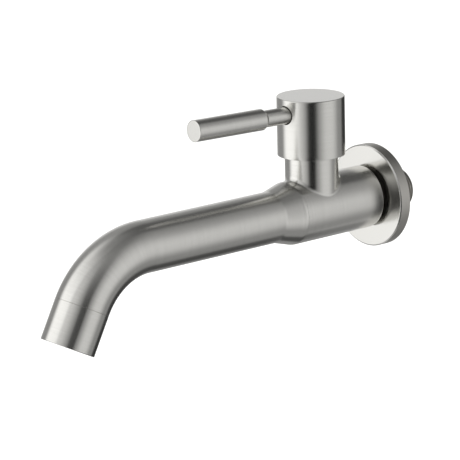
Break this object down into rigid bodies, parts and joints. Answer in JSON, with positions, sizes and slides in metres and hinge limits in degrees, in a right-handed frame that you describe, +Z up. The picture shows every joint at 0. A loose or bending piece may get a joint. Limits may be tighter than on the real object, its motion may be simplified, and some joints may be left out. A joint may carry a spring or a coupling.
{
  "type": "wall-mounted basin tap",
  "caption": "Wall-mounted cold-water basin tap in brushed stainless steel with a long bent spout and a side lever on a cylindrical handle that opens a ceramic cartridge by a quarter turn.",
  "frame": {"origin": "centre of the inlet nipple's axis in the plane of the finished wall", "axes": "+Z up, +Y into the wall along the inlet axis, spout along -Y, +X to the right seen from the front"},
  "size_m": [0.0526, 0.2285, 0.1049],
  "materials": {
    "brushed_stainless": "brushed",
    "turned_stainless": "turned",
    "brass": "turned",
    "alumina": "lapped",
    "rubber": "matt",
    "acetal": "moulded"
  },
  "bodies": {
    "tap": {"wall_flange": "brushed_stainless", "flange_grip_ring": "rubber", "inlet_connector": "turned_stainless", "feed_tube": "turned_stainless", "feed_o_rings": "rubber", "tap_body": "brushed_stainless", "valve_housing": "turned_stainless", "seat_seal": "rubber", "fixed_disc": "alumina", "cartridge_body": "brass", "bonnet_gasket": "rubber", "spout_tube": "brushed_stainless", "spout_bush": "turned_stainless", "outlet_sleeve": "brushed_stainless", "aerator_seal": "rubber", "aerator_screen": "turned_stainless", "aerator_body": "acetal", "flow_straightener": "acetal"},
    "handle": {"moving_disc": "alumina", "slip_washer": "acetal", "spindle": "brass", "spindle_o_rings": "rubber", "stop_washer": "turned_stainless", "spindle_clip": "turned_stainless", "handle_cap": "brushed_stainless", "handle_hub": "brass", "hub_screw": "turned_stainless", "lever_stem": "brushed_stainless", "lever_grip": "brushed_stainless"}
  },
  "joints": [
    {"name": "handle_turn", "type": "hinge", "parent": "tap", "child": "handle", "pos_m": [0, -0.043, 0], "axis": [0, 0, 1], "range_deg": [0, 90]}
  ]
}
